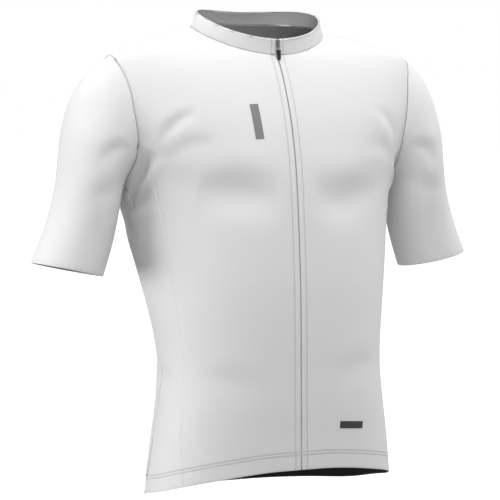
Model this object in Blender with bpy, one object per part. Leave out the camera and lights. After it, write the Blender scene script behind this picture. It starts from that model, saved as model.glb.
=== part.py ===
"""A short-sleeved cycling jersey with a full front zip, in metres, +Z up, facing -Y.

The origin is in the neck's opening, level with the collar's upper edge at its sides, where
the wearer holds the jersey, and +X is the wearer's left. Every cloth panel is a thin wall
whose outer face is a stretch of one shell, so neighbouring panels meet along the same seam
with a narrow gap between them.
"""
import math
from collections import namedtuple

import bmesh
import bpy
from mathutils import Matrix, Vector
from mathutils.bvhtree import BVHTree
from mathutils.kdtree import KDTree

# ---------------------------------------------------------------- cloth sizes
CLOTH = 0.0013            # wall of a panel, one layer of knit with its seam turnings
HEM_CLOTH = 0.0020        # wall where the hem and the cuffs are turned up
COLLAR_CLOTH = 0.0018     # the collar is cut double
HEM_BAND = 0.023          # depth of the turned-up hem
CUFF_BAND = 0.006         # how far up from the cuff's edge the turned-up wall reaches
SEAM_EASE = 0.00019       # each panel stops this far short of its seam line
LAY_GAP = 0.0004          # air between a panel and what lies on it
WELD = 0.00001            # points closer than this are one point of the shell

# ---------------------------------------------------------------- the worn form
# Level sections of a general figure. front and back are the distances of the middle of
# the front and of the back from the origin, side_y is where the section is widest, and a
# squareness of 2 is an ellipse.
Section = namedtuple("Section", "height half_width front back side_y squareness")
SECTIONS = (
    Section(-0.660, 0.176, 0.123, 0.109, -0.032, 2.30),
    Section(-0.620, 0.171, 0.123, 0.107, -0.035, 2.30),
    Section(-0.590, 0.167, 0.123, 0.106, -0.037, 2.30),
    Section(-0.550, 0.162, 0.122, 0.104, -0.039, 2.30),
    Section(-0.510, 0.156, 0.122, 0.102, -0.040, 2.30),
    Section(-0.470, 0.153, 0.121, 0.102, -0.036, 2.30),
    Section(-0.430, 0.156, 0.121, 0.104, -0.029, 2.30),
    Section(-0.390, 0.163, 0.120, 0.108, -0.018, 2.30),
    Section(-0.350, 0.171, 0.119, 0.113, -0.003, 2.30),
    Section(-0.310, 0.179, 0.116, 0.119, 0.012, 2.30),
    Section(-0.270, 0.186, 0.113, 0.126, 0.026, 2.30),
    Section(-0.230, 0.194, 0.109, 0.132, 0.036, 2.35),
    Section(-0.200, 0.204, 0.105, 0.137, 0.040, 2.45),
    Section(-0.170, 0.213, 0.099, 0.139, 0.036, 2.60),
    Section(-0.140, 0.219, 0.091, 0.138, 0.028, 2.75),
    Section(-0.110, 0.221, 0.079, 0.131, 0.014, 2.80),
    Section(-0.080, 0.219, 0.065, 0.119, 0.004, 2.80),
    Section(-0.055, 0.215, 0.049, 0.105, 0.000, 2.80),
    Section(-0.047, 0.196, 0.043, 0.100, 0.002, 2.80),
    Section(-0.040, 0.174, 0.032, 0.096, 0.006, 2.80),
    Section(-0.033, 0.155, 0.020, 0.091, 0.010, 2.80),
    Section(-0.025, 0.132, 0.006, 0.086, 0.015, 2.80),
    Section(-0.018, 0.094, -0.008, 0.080, 0.016, 2.80),
    Section(-0.005, 0.080, -0.012, 0.072, 0.015, 2.80),
)

# The hem dips at the sides and hangs lowest at the back (turn 0 front, 180 back).
HemPoint = namedtuple("HemPoint", "turn height")
HEM = (
    HemPoint(0, -0.5950),
    HemPoint(12, -0.5955),
    HemPoint(25, -0.5990),
    HemPoint(42, -0.6055),
    HemPoint(59, -0.6125),
    HemPoint(93, -0.6285),
    HemPoint(117, -0.6420),
    HemPoint(140, -0.6455),
    HemPoint(180, -0.6470),
)

# Where the side panel's two seams run, in degrees round the figure, by share of height.
SideSeam = namedtuple("SideSeam", "share front back")
SIDE_SEAMS = (
    SideSeam(0.00, 58.5, 105.0),
    SideSeam(0.06, 62.0, 104.0),
    SideSeam(0.20, 68.0, 102.0),
    SideSeam(0.35, 69.5, 99.0),
    SideSeam(0.55, 64.5, 93.0),
    SideSeam(0.75, 61.5, 87.0),
    SideSeam(0.90, 60.5, 82.0),
)

# The neckline: an oval that rises from the pit of the neck to the nape.
NECK_HALF_WIDTH = 0.094
NECK_HALF_DEPTH = 0.061
NECK_MIDDLE_Y = 0.013
NECK_PIT = -0.053
NECK_RISE = 0.043
NECK_SIDE_RISE = 0.013
SHOULDER_SEAM_TURN = 97       # the shoulder seam lies just behind the ridge

# The collar stands on the neckline.
CollarPoint = namedtuple("CollarPoint", "turn rise lean")
COLLAR = (
    CollarPoint(0, 0.0200, -0.0015),
    CollarPoint(60, 0.0210, 0.0030),
    CollarPoint(100, 0.0210, 0.0055),
    CollarPoint(180, 0.0180, 0.0065),
)

# The armhole, drawn on the side of the figure (turn 0 top, 90 front, 180 bottom).
ArmholePoint = namedtuple("ArmholePoint", "turn y z")
ARMHOLE = (
    ArmholePoint(-30, 0.038, -0.066),
    ArmholePoint(0, 0.003, -0.055),
    ArmholePoint(30, -0.019, -0.066),
    ArmholePoint(60, -0.034, -0.091),
    ArmholePoint(90, -0.0415, -0.125),
    ArmholePoint(120, -0.0405, -0.162),
    ArmholePoint(150, -0.027, -0.194),
    ArmholePoint(180, 0.004, -0.211),
    ArmholePoint(210, 0.040, -0.203),
    ArmholePoint(240, 0.066, -0.178),
    ArmholePoint(270, 0.077, -0.140),
    ArmholePoint(300, 0.066, -0.098),
    ArmholePoint(330, 0.038, -0.066),
    ArmholePoint(360, 0.003, -0.055),
)
ARMHOLE_FRONT_SEAM = 125      # turn of the side panel's front seam
ARMHOLE_BACK_SEAM = 188
ARMHOLE_SHOULDER_SEAM = -8
CHEST_LEVEL = -0.190          # height, at the zip, of the row that ends at the armhole
BACK_LEVEL = -0.215           # the same row's height at the middle of the back

# The sleeve: oblique sections from the armhole to the cuff, each through an outer and an
# inner point, with half its depth front to back.
SleeveSection = namedtuple("SleeveSection", "outer_x outer_z inner_x inner_z half_depth")
SLEEVE_MIDDLE_Y = 0.016
SLEEVE_BLEND = 3              # sections over which the sleeve takes up the armhole's shape
SLEEVE = (
    SleeveSection(0.2150, -0.0550, 0.1980, -0.2110, 0.060),
    SleeveSection(0.2350, -0.0680, 0.1990, -0.2160, 0.061),
    SleeveSection(0.2530, -0.0890, 0.2000, -0.2240, 0.061),
    SleeveSection(0.2680, -0.1190, 0.2010, -0.2350, 0.060),
    SleeveSection(0.2765, -0.1530, 0.2020, -0.2480, 0.058),
    SleeveSection(0.2810, -0.1880, 0.2040, -0.2610, 0.056),
    SleeveSection(0.2840, -0.2170, 0.2065, -0.2750, 0.053),
    SleeveSection(0.2910, -0.2490, 0.2095, -0.2920, 0.050),
    SleeveSection(0.3020, -0.2810, 0.2150, -0.3140, 0.048),
    SleeveSection(0.3200, -0.3235, 0.2250, -0.3445, 0.048),
)
CUFF_TILT = 0.0015            # the back of the cuff hangs this much lower than its middle

# ---------------------------------------------------------------- how fine the shell is
FRONT_COLUMNS = 10
SIDE_COLUMNS = 4
BACK_COLUMNS = FRONT_COLUMNS  # from the back seam to the middle; they share a shoulder
BODY_ROWS = 17                # from the hem to the armhole
CHEST_ROWS = 5                # up the middle of the front to the pit of the neck
NECK_ROWS = 6                 # along the neckline to the shoulder seam
BACK_CHEST_ROWS = 7           # up the middle of the back to the nape
COLLAR_ROWS = 2
UPPER_ROWS = CHEST_ROWS + NECK_ROWS
NAPE_ROWS = UPPER_ROWS - BACK_CHEST_ROWS
FINE_STEPS = 60               # steps of a path that is then divided evenly
TOP_STEPS = 20                # steps along the armhole's foot between the side seams

# ---------------------------------------------------------------- zip
ZIP_GAP = 0.0020              # between the folded edges of the two fronts
CHAIN_HALF_WIDTH = 0.0019
CHAIN_THICK = 0.0014
TAPE_EDGE = 0.0023
TAPE_WIDTH = 0.0120
TAPE_THICK = 0.0010
ZIP_BEHIND = 0.0003           # air between the fronts and the tapes
NECK_SEAM_ROOM = 0.0004       # more air where the tapes pass behind the collar's seam
SLIDER_TOP = 0.0015           # below the collar's edge
SLIDER_WIDTH = 0.0064
SLIDER_LENGTH = 0.0100
SLIDER_THICK = 0.0010
SLIDER_ROUNDING = 0.0003
SLIDER_NECK_LENGTH = 0.0040
BRIDGE_WIDTH = 0.0016
BRIDGE_WIRE = 0.0009
BRIDGE_STAND = 0.0030         # from the plate's face to the bridge's outer face
PIVOT_DROP = 0.0068           # from the slider's top to the pull's axis
PIVOT_STAND = 0.00105         # from the plate's face to the pull's axis
PULL_BAR = 0.0010             # thickness of the pull's wire
PULL_HALF_WIDTH = 0.0022      # from the middle to the pull's side wires
PULL_EYE_LENGTH = 0.0052
GRIP_LENGTH = 0.0130
GRIP_TOP_WIDTH = 0.0068
GRIP_TIP_WIDTH = 0.0046
GRIP_THICK = 0.0022
GRIP_ROUNDING = 0.00077
PULL_LEAN = math.radians(13)  # at rest the pull lies over the sloping chest

# ---------------------------------------------------------------- things laid on panels
GRIPPER_HEIGHT = 0.022
GRIPPER_THICK = 0.0010
GRIPPER_FOOT = 0.06           # its lower edge, as a share of the hem band
POCKET_ROWS = (1, 7)          # shell rows of the pockets' lower and upper edges
PATCH_THICK = 0.0008


def smooth(table, key, column, at):
    """A smooth curve through one named column of a table, read at a value of its key."""
    keys = [getattr(row, key) for row in table]
    values = [getattr(row, column) for row in table]
    if keys[0] > keys[-1]:
        keys.reverse()
        values.reverse()
    at = min(max(at, keys[0]), keys[-1])
    last = len(keys) - 1
    index = max(i for i in range(last) if keys[i] <= at)

    def slope(i):
        low = max(i - 1, 0)
        high = min(i + 1, last)
        return (values[high] - values[low]) / (keys[high] - keys[low])

    span = keys[index + 1] - keys[index]
    t = (at - keys[index]) / span
    rise = values[index + 1] - values[index]
    start = slope(index) * span
    end = slope(index + 1) * span
    return (values[index] + t * start + t * t * (3 * rise - 2 * start - end)
            + t ** 3 * (start + end - 2 * rise))


def power(value, exponent):
    """A signed power, for superellipses."""
    return math.copysign(abs(value) ** exponent, value)


def section_at(height):
    """The figure's section at a height."""
    columns = [smooth(SECTIONS, "height", name, height) for name in Section._fields[1:]]
    return Section(height, *columns)


def figure_point(turn, height):
    """The point of the worn form at a turn (degrees, 0 front, 90 side) and a height."""
    s = section_at(height)
    angle = math.radians(turn)
    exponent = 2 / s.squareness
    depth = s.front + s.side_y if math.cos(angle) > 0 else s.back - s.side_y
    x = s.half_width * power(math.sin(angle), exponent)
    y = s.side_y - depth * power(math.cos(angle), exponent)
    return Vector((x, y, height))


def turn_of(point):
    """The turn at which the section through a point of the figure comes closest to it."""
    s = section_at(point.z)
    depth = s.front + s.side_y if point.y < s.side_y else s.back - s.side_y
    half = s.squareness / 2
    across = min(point.x / s.half_width, 1.0) ** half
    along = power((s.side_y - point.y) / depth, half)
    return math.degrees(math.atan2(across, along))


def neck_point(turn):
    """The neckline at a turn round the neck."""
    angle = math.radians(turn)
    forward = math.cos(angle)
    return Vector((
        NECK_HALF_WIDTH * math.sin(angle),
        NECK_MIDDLE_Y - NECK_HALF_DEPTH * forward,
        NECK_PIT + NECK_RISE * (1 - forward) / 2 + NECK_SIDE_RISE * (1 - forward ** 2),
    ))


def armhole_point(turn):
    """The armhole at a turn round it, on the figure."""
    y = smooth(ARMHOLE, "turn", "y", turn)
    z = smooth(ARMHOLE, "turn", "z", turn)
    s = section_at(z)
    depth = s.front + s.side_y if y < s.side_y else s.back - s.side_y
    off = min(abs(y - s.side_y) / depth, 1.0)
    x = s.half_width * (1 - off ** s.squareness) ** (1 / s.squareness)
    return Vector((x, y, z))


def even_points(path, count):
    """Points that divide a finely drawn path into equal lengths."""
    lengths = [0.0]
    for before, after in zip(path, path[1:]):
        lengths.append(lengths[-1] + (after - before).length)
    points = []
    for step in range(count + 1):
        want = lengths[-1] * step / count
        index = max(i for i in range(len(path) - 1) if lengths[i] <= want)
        span = lengths[index + 1] - lengths[index]
        points.append(path[index].lerp(path[index + 1], (want - lengths[index]) / span))
    return points


def figure_row(start, end, count, height_of=None):
    """Even points on the figure from one (turn, height) to another."""
    path = []
    for step in range(FINE_STEPS + 1):
        turn = start[0] + (end[0] - start[0]) * step / FINE_STEPS
        height = start[1] + (end[1] - start[1]) * step / FINE_STEPS
        if height_of:
            height = height_of(turn)
        path.append(figure_point(turn, height))
    return even_points(path, count)


def row_to_edges(start, end, count):
    """A row on the figure whose two ends are drawn to two given points."""
    row = figure_row((turn_of(start), start.z), (turn_of(end), end.z), count)
    first = start - row[0]
    last = end - row[-1]
    return [p + first * (1 - i / count) + last * (i / count) for i, p in enumerate(row)]


def body_rows():
    """Rows from the hem to the armhole, each from the middle front to the middle back."""
    front_top = armhole_point(ARMHOLE_FRONT_SEAM)
    back_top = armhole_point(ARMHOLE_BACK_SEAM)
    seams = SIDE_SEAMS + (SideSeam(1.0, turn_of(front_top), turn_of(back_top)),)
    top = []
    for i in range(TOP_STEPS + 1):
        share = i / TOP_STEPS
        turn = ARMHOLE_FRONT_SEAM + (ARMHOLE_BACK_SEAM - ARMHOLE_FRONT_SEAM) * share
        top.append(armhole_point(turn))

    def top_height(turn):
        if turn <= turn_of(top[0]):
            share = turn / turn_of(top[0])
            return CHEST_LEVEL + (top[0].z - CHEST_LEVEL) * share ** 3
        if turn >= turn_of(top[-1]):
            share = (180 - turn) / (180 - turn_of(top[-1]))
            return BACK_LEVEL + (top[-1].z - BACK_LEVEL) * share
        index = max(i for i in range(TOP_STEPS) if turn_of(top[i]) <= turn)
        low = turn_of(top[index])
        high = turn_of(top[index + 1])
        share = (turn - low) / (high - low)
        return top[index].z + (top[index + 1].z - top[index].z) * share

    rows = []
    for level in row_shares():
        def height_of(turn):
            hem = smooth(HEM, "turn", "height", turn)
            return hem + (top_height(turn) - hem) * level
        front_turn = smooth(seams, "share", "front", level)
        back_turn = smooth(seams, "share", "back", level)
        row = figure_row((0, 0), (front_turn, 0), FRONT_COLUMNS, height_of)
        row += figure_row((front_turn, 0), (back_turn, 0), SIDE_COLUMNS, height_of)[1:]
        row += figure_row((back_turn, 0), (180, 0), BACK_COLUMNS, height_of)[1:]
        rows.append(row)
    return rows


def row_shares():
    """Each body row's share of the way from the hem to the armhole."""
    band = HEM_BAND / (CHEST_LEVEL - HEM[0].height)
    plain = BODY_ROWS - 1
    return [0.0] + [band + (1 - band) * i / plain for i in range(plain + 1)]


def armhole_turns(seam):
    """The armhole's points from a side seam up to the shoulder seam."""
    end = ARMHOLE_SHOULDER_SEAM
    if seam > 180:
        end = ARMHOLE_SHOULDER_SEAM + 360
    return [seam + (end - seam) * i / UPPER_ROWS for i in range(UPPER_ROWS + 1)]


def front_upper_rows(first_row):
    """Rows of the front from the armhole's foot to the shoulder seam, middle first."""
    inner = []
    for i in range(1, CHEST_ROWS + 1):
        inner.append(figure_point(0, CHEST_LEVEL + (NECK_PIT - CHEST_LEVEL) * i / CHEST_ROWS))
    inner[-1] = neck_point(0)
    inner += [neck_point(SHOULDER_SEAM_TURN * i / NECK_ROWS) for i in range(1, NECK_ROWS + 1)]
    outer = [armhole_point(turn) for turn in armhole_turns(ARMHOLE_FRONT_SEAM)[1:]]
    rows = [row_to_edges(a, b, FRONT_COLUMNS) for a, b in zip(inner, outer)]
    return [first_row] + rows


def back_upper_rows(first_row, shoulder_row):
    """Rows of half the back from the armhole's foot to the shoulder seam, armhole first."""
    nape = neck_point(180)
    inner = []
    for i in range(1, BACK_CHEST_ROWS + 1):
        inner.append(figure_point(180, BACK_LEVEL + (nape.z - BACK_LEVEL) * i / BACK_CHEST_ROWS))
    inner[-1] = nape
    for i in range(1, NAPE_ROWS + 1):
        inner.append(neck_point(180 + (SHOULDER_SEAM_TURN - 180) * i / NAPE_ROWS))
    outer = [armhole_point(turn) for turn in armhole_turns(ARMHOLE_BACK_SEAM)[1:]]
    rows = [row_to_edges(a, b, BACK_COLUMNS)[::-1] for a, b in zip(inner, outer)]
    rows[-1] = shoulder_row[::-1]
    return [first_row] + rows


def collar_rows():
    """The collar's rows from the neckline up, from the middle front to the middle back."""
    turns = [SHOULDER_SEAM_TURN * i / NECK_ROWS for i in range(NECK_ROWS + 1)]
    turns += [SHOULDER_SEAM_TURN + (180 - SHOULDER_SEAM_TURN) * i / NAPE_ROWS
              for i in range(1, NAPE_ROWS + 1)]
    rows = []
    for level in range(COLLAR_ROWS + 1):
        share = level / COLLAR_ROWS
        row = []
        for turn in turns:
            foot = neck_point(turn)
            rise = smooth(COLLAR, "turn", "rise", turn)
            lean = smooth(COLLAR, "turn", "lean", turn)
            inward = Vector((-foot.x, NECK_MIDDLE_Y - foot.y, 0)).normalized()
            row.append(foot + Vector((0, 0, rise * share)) + inward * lean * share ** 1.5)
        rows.append(row)
    return rows


def sleeve_oval(section, turn, tilt=0.0):
    """A sleeve section's own point at a turn round the arm (0 outer side, 90 front)."""
    angle = math.radians(turn)
    outer = Vector((section.outer_x, SLEEVE_MIDDLE_Y, section.outer_z))
    inner = Vector((section.inner_x, SLEEVE_MIDDLE_Y, section.inner_z))
    middle = (outer + inner) / 2
    point = middle + (outer - middle) * math.cos(angle)
    point.y -= section.half_depth * math.sin(angle)
    point.z += tilt * math.sin(angle)
    return point


def sleeve_rows(ring, turns):
    """The sleeve's rows from the armhole's ring of points down to the cuff."""
    rows = []
    for index, section in enumerate(SLEEVE):
        tilt = CUFF_TILT * index / (len(SLEEVE) - 1)
        keep = max(0.0, 1 - index / SLEEVE_BLEND)
        row = []
        for foot, turn in zip(ring, turns):
            off = foot - sleeve_oval(SLEEVE[0], turn)
            row.append(sleeve_oval(section, turn, tilt) + off * keep)
        rows.append(row)
    return rows


# ---------------------------------------------------------------- the shell
PANELS = ("front", "side", "back", "sleeve", "collar")


def mirrored(point):
    return Vector((-point.x, point.y, point.z))


def add_grid(shell, rows, panel, side):
    """Quads between rows of points, on the wearer's left (side 1) or right (side -1)."""
    layer = shell.faces.layers.int["panel"]
    place = [[shell.verts.new(p if side > 0 else mirrored(p)) for p in row] for row in rows]
    for low, high in zip(place, place[1:]):
        for i in range(len(low) - 1):
            corners = [low[i], low[i + 1], high[i + 1], high[i]]
            if side < 0:
                corners.reverse()
            shell.faces.new(corners)[layer] = side * (PANELS.index(panel) + 1)


def half_grids():
    """The rows of every panel of the wearer's left half, by name."""
    body = body_rows()
    seam = FRONT_COLUMNS
    back = FRONT_COLUMNS + SIDE_COLUMNS
    front = [row[:seam + 1] for row in body]
    side = [row[seam:back + 1] for row in body]
    rear = [row[back:] for row in body]
    front += front_upper_rows(front[-1])[1:]
    rear += back_upper_rows(rear[-1], front[-1])[1:]
    collar = collar_rows()
    for row in front[:BODY_ROWS + CHEST_ROWS + 1]:
        row[0] = Vector((ZIP_GAP / 2, row[0].y, row[0].z))
    for row in collar:
        row[0] = Vector((ZIP_GAP / 2, row[0].y, row[0].z))
    ring = [row[-1] for row in front[BODY_ROWS:]]
    ring += [row[0] for row in rear[BODY_ROWS:]][-2::-1]
    ring += side[-1][-2::-1]
    turns = armhole_turns(ARMHOLE_FRONT_SEAM)
    turns += armhole_turns(ARMHOLE_BACK_SEAM)[-2::-1]
    bottom = ARMHOLE_FRONT_SEAM - ARMHOLE_BACK_SEAM
    turns += [ARMHOLE_BACK_SEAM + bottom * i / SIDE_COLUMNS for i in range(1, SIDE_COLUMNS + 1)]
    sleeve = [row[::-1] for row in sleeve_rows(ring, turns)]
    return {"front": front, "side": side, "back": rear, "sleeve": sleeve, "collar": collar}


def build_shell(grids):
    """One welded surface through every cloth panel, which the panels' walls start from."""
    shell = bmesh.new()
    shell.faces.layers.int.new("panel")
    for side in (1, -1):
        for panel, rows in grids.items():
            add_grid(shell, rows, panel, side)
    bmesh.ops.remove_doubles(shell, verts=shell.verts, dist=WELD)
    shell.normal_update()
    return shell


# ---------------------------------------------------------------- walls and objects
def material(name, colour, roughness, metallic=0.0):
    made = bpy.data.materials.new(name)
    made.use_nodes = True
    shader = made.node_tree.nodes["Principled BSDF"]
    shader.inputs["Base Color"].default_value = (*colour, 1)
    shader.inputs["Roughness"].default_value = roughness
    shader.inputs["Metallic"].default_value = metallic
    return made


def add_object(name, bm, collection, finish):
    mesh = bpy.data.meshes.new(name)
    bm.to_mesh(mesh)
    bm.free()
    made = bpy.data.objects.new(name, mesh)
    mesh.materials.append(finish)
    collection.objects.link(made)
    return made


def extrude_wall(bm, shifts):
    """Closes an open sheet into a wall: a copy of each point moves by its own shift."""
    made = bmesh.ops.extrude_face_region(bm, geom=bm.faces[:])
    for item in made["geom"]:
        if isinstance(item, bmesh.types.BMVert):
            item.co += shifts[tuple(item.co)]
    bmesh.ops.recalc_face_normals(bm, faces=bm.faces)


def panel_wall(name, shell, marks, thickness_of, collection, finish):
    """The wall of one panel: its stretch of the shell, eased back at seams, made thick."""
    layer = shell.faces.layers.int["panel"]
    faces = [face for face in shell.faces if face[layer] in marks]
    inside = set(faces)
    bm = bmesh.new()
    copies = {}
    shifts = {}
    for face in faces:
        for vert in face.verts:
            if vert in copies:
                continue
            own = [f for f in vert.link_faces if f in inside]
            place = vert.co.copy()
            if len(own) < len(vert.link_faces):
                middle = sum((f.calc_center_median() for f in own), Vector()) / len(own)
                place += ease_from(vert, inside, middle)
            copies[vert] = bm.verts.new(place)
            shifts[tuple(copies[vert].co)] = vert.normal * -thickness_of(place)
    for face in faces:
        bm.faces.new([copies[vert] for vert in face.verts])
    extrude_wall(bm, shifts)
    return add_object(name, bm, collection, finish)


def ease_from(vert, inside, middle):
    """How far a seam point draws back into its own panel, square to its seam edges."""
    pull = Vector()
    for edge in vert.link_edges:
        owners = [face in inside for face in edge.link_faces]
        if len(owners) == 2 and owners[0] != owners[1]:
            along = (edge.other_vert(vert).co - vert.co).normalized()
            inward = middle - vert.co
            inward -= along * inward.dot(along)
            pull += inward.normalized() * SEAM_EASE
    if pull.length < SEAM_EASE * 0.5:
        pull = (middle - vert.co).normalized() * SEAM_EASE
    return pull


def body_thickness(place):
    hem = smooth(HEM, "turn", "height", turn_of(Vector((abs(place.x), place.y, place.z))))
    return HEM_CLOTH if place.z < hem + HEM_BAND / 2 else CLOTH


def sleeve_thickness(place):
    cuff = SLEEVE[-1]
    share = (abs(place.x) - cuff.inner_x) / (cuff.outer_x - cuff.inner_x)
    edge = cuff.inner_z + (cuff.outer_z - cuff.inner_z) * share
    return HEM_CLOTH if place.z < edge + CUFF_BAND else CLOTH


def build_panels(shell, collection, white, collar_white):
    for side, hand in ((1, "left"), (-1, "right")):
        for panel in ("front", "side", "sleeve"):
            thickness = sleeve_thickness if panel == "sleeve" else body_thickness
            marks = (side * (PANELS.index(panel) + 1),)
            panel_wall(f"{panel}_{hand}", shell, marks, thickness, collection, white)
    for panel, thickness, finish in (("back", body_thickness, white),
                                     ("collar", lambda place: COLLAR_CLOTH, collar_white)):
        number = PANELS.index(panel) + 1
        panel_wall(panel, shell, (number, -number), thickness, collection, finish)


def strip_object(name, rows, shift_rows, collection, finish):
    """A wall through rows of points, made thick by a shift of its own at each point."""
    bm = bmesh.new()
    place = [[bm.verts.new(p) for p in row] for row in rows]
    shifts = {}
    for verts, shift_row in zip(place, shift_rows):
        for vert, shift in zip(verts, shift_row):
            shifts[tuple(vert.co)] = shift
    for low, high in zip(place, place[1:]):
        for i in range(len(low) - 1):
            bm.faces.new((low[i], low[i + 1], high[i + 1], high[i]))
    extrude_wall(bm, shifts)
    return add_object(name, bm, collection, finish)


def shell_normals(shell):
    """Finds the shell's outward direction at any of its points."""
    tree = KDTree(len(shell.verts))
    for index, vert in enumerate(shell.verts):
        tree.insert(vert.co, index)
    tree.balance()
    shell.verts.ensure_lookup_table()
    return lambda point: shell.verts[tree.find(point)[1]].normal.copy()


def both_sides(row):
    """A row from the front round to the middle back, carried on round the other side."""
    return row + [mirrored(point) for point in row[-2::-1]]


# ---------------------------------------------------------------- zip
def zip_line(grids):
    """The folded edge of the left front and its neighbour column, from hem to collar top."""
    rows = grids["front"][:BODY_ROWS + CHEST_ROWS] + grids["collar"]
    return [row[0] for row in rows], [row[1] for row in rows]


def zip_depths(edge):
    """How thick the cloth in front of the zip is at each of its points."""
    depths = []
    for index, point in enumerate(edge):
        in_collar = index >= BODY_ROWS + CHEST_ROWS
        depths.append(COLLAR_CLOTH if in_collar else body_thickness(point))
    depths[BODY_ROWS + CHEST_ROWS] += NECK_SEAM_ROOM
    return depths


def build_zip_tapes(grids, normal_at, collection, finish):
    edge, beside = zip_line(grids)
    for side, hand in ((1, "left"), (-1, "right")):
        rows = []
        shifts = []
        for start, end, depth in zip(edge, beside, zip_depths(edge)):
            first = start - normal_at(start) * depth
            last = end - normal_at(end) * depth
            length = (last - first).length
            row = []
            for across in (TAPE_EDGE, TAPE_EDGE + TAPE_WIDTH):
                share = (across - ZIP_GAP / 2) / length
                row.append(first.lerp(last, share) - normal_at(start) * ZIP_BEHIND)
            back = -normal_at(start) * TAPE_THICK
            if side < 0:
                row = [mirrored(point) for point in row]
                back = mirrored(back)
            rows.append(row)
            shifts.append([back, back])
        strip_object(f"zip_tape_{hand}", rows, shifts, collection, finish)


def build_zip_chain(grids, normal_at, collection, finish):
    edge, _ = zip_line(grids)
    rows = []
    shifts = []
    for point, depth in zip(edge, zip_depths(edge)):
        out = flat_normal(normal_at(point))
        place = Vector((0, point.y, point.z)) - out * (depth + ZIP_BEHIND)
        side = Vector((CHAIN_HALF_WIDTH, 0, 0))
        rows.append([place - side, place + side])
        shifts.append([-out * CHAIN_THICK] * 2)
    strip_object("zip_chain", rows, shifts, collection, finish)


def flat_normal(normal):
    """A normal with its sideways part taken out."""
    return Vector((0, normal.y, normal.z)).normalized()


def zip_frame(grids, normal_at):
    """The slider's frame: its origin on the collar's edge, X across, Y outwards, Z up."""
    top = grids["collar"][-1][0]
    foot = grids["collar"][0][0]
    up = flat_normal(top - foot)
    out = Vector((1, 0, 0)).cross(up)
    if out.dot(normal_at(top)) < 0:
        out.negate()
    frame = Matrix((Vector((-1, 0, 0)), out, up)).transposed().to_4x4()
    frame.translation = Vector((0, top.y, top.z))
    return frame


def block(name, size, middle, frame, collection, finish, rounding=0.0):
    """A box of a size at a place in a frame, with rounded edges."""
    bm = bmesh.new()
    bmesh.ops.create_cube(bm, size=1)
    bmesh.ops.scale(bm, vec=size, verts=bm.verts)
    bmesh.ops.translate(bm, vec=middle, verts=bm.verts)
    if rounding:
        bmesh.ops.bevel(bm, geom=bm.edges[:], offset=rounding, segments=2, profile=0.5,
                        affect="EDGES", material=-1)
    bmesh.ops.transform(bm, matrix=frame, verts=bm.verts)
    return add_object(name, bm, collection, finish)


def build_slider(frame, collection, cutters, finish):
    """The slider's face plate with its neck in the zip's gap and its bridge in front."""
    plate_back = LAY_GAP
    middle = Vector((0, plate_back + SLIDER_THICK / 2, -SLIDER_TOP - SLIDER_LENGTH / 2))
    plate = block("zip_slider", (SLIDER_WIDTH, SLIDER_THICK, SLIDER_LENGTH), middle, frame,
                  collection, finish, rounding=SLIDER_ROUNDING)
    reach = COLLAR_CLOTH + plate_back + SLIDER_THICK / 2
    neck = block("slider_neck", (ZIP_GAP - 2 * LAY_GAP, reach, SLIDER_NECK_LENGTH),
                 Vector((0, plate_back + SLIDER_THICK / 2 - reach / 2, middle.z)), frame,
                 cutters, finish)
    bridge = build_bridge(frame, cutters, finish)
    for part in (neck, bridge):
        part.hide_render = True
        part.display_type = "WIRE"
        join = plate.modifiers.new(part.name, "BOOLEAN")
        join.operation = "UNION"
        join.object = part
    return plate


def build_bridge(frame, cutters, finish):
    """The U-shaped bridge that holds the pull, drawn as a side outline and extruded."""
    face = LAY_GAP + SLIDER_THICK
    half = PIVOT_DROP / 2
    arches = []
    for stand, length in ((BRIDGE_STAND, half), (BRIDGE_STAND - BRIDGE_WIRE, half - BRIDGE_WIRE)):
        turns = [math.radians(a) for a in range(0, 181, 20)]
        arches.append([(stand * math.sin(turn), length * math.cos(turn)) for turn in turns])
    outer, inner = arches
    sunk = -SLIDER_THICK / 2
    points = [(sunk, outer[0][1])] + outer + [(sunk, outer[-1][1]), (sunk, inner[-1][1])]
    points += inner[::-1] + [(sunk, inner[0][1])]
    bm = bmesh.new()
    verts = []
    for out, along in points:
        verts.append(bm.verts.new((-BRIDGE_WIDTH / 2, face + out, -SLIDER_TOP - PIVOT_DROP + along)))
    bm.faces.new(verts)
    made = bmesh.ops.extrude_face_region(bm, geom=bm.faces[:])
    moved = [item for item in made["geom"] if isinstance(item, bmesh.types.BMVert)]
    bmesh.ops.translate(bm, vec=(BRIDGE_WIDTH, 0, 0), verts=moved)
    bmesh.ops.recalc_face_normals(bm, faces=bm.faces)
    bmesh.ops.transform(bm, matrix=frame, verts=bm.verts)
    return add_object("slider_bridge", bm, cutters, finish)


def pull_frame(frame):
    """The pull's own frame on the hinge's axis, leaning over the chest."""
    pivot = Matrix.Translation((0, LAY_GAP + SLIDER_THICK + PIVOT_STAND,
                                -SLIDER_TOP - PIVOT_DROP))
    return frame @ pivot @ Matrix.Rotation(PULL_LEAN, 4, "X")


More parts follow.
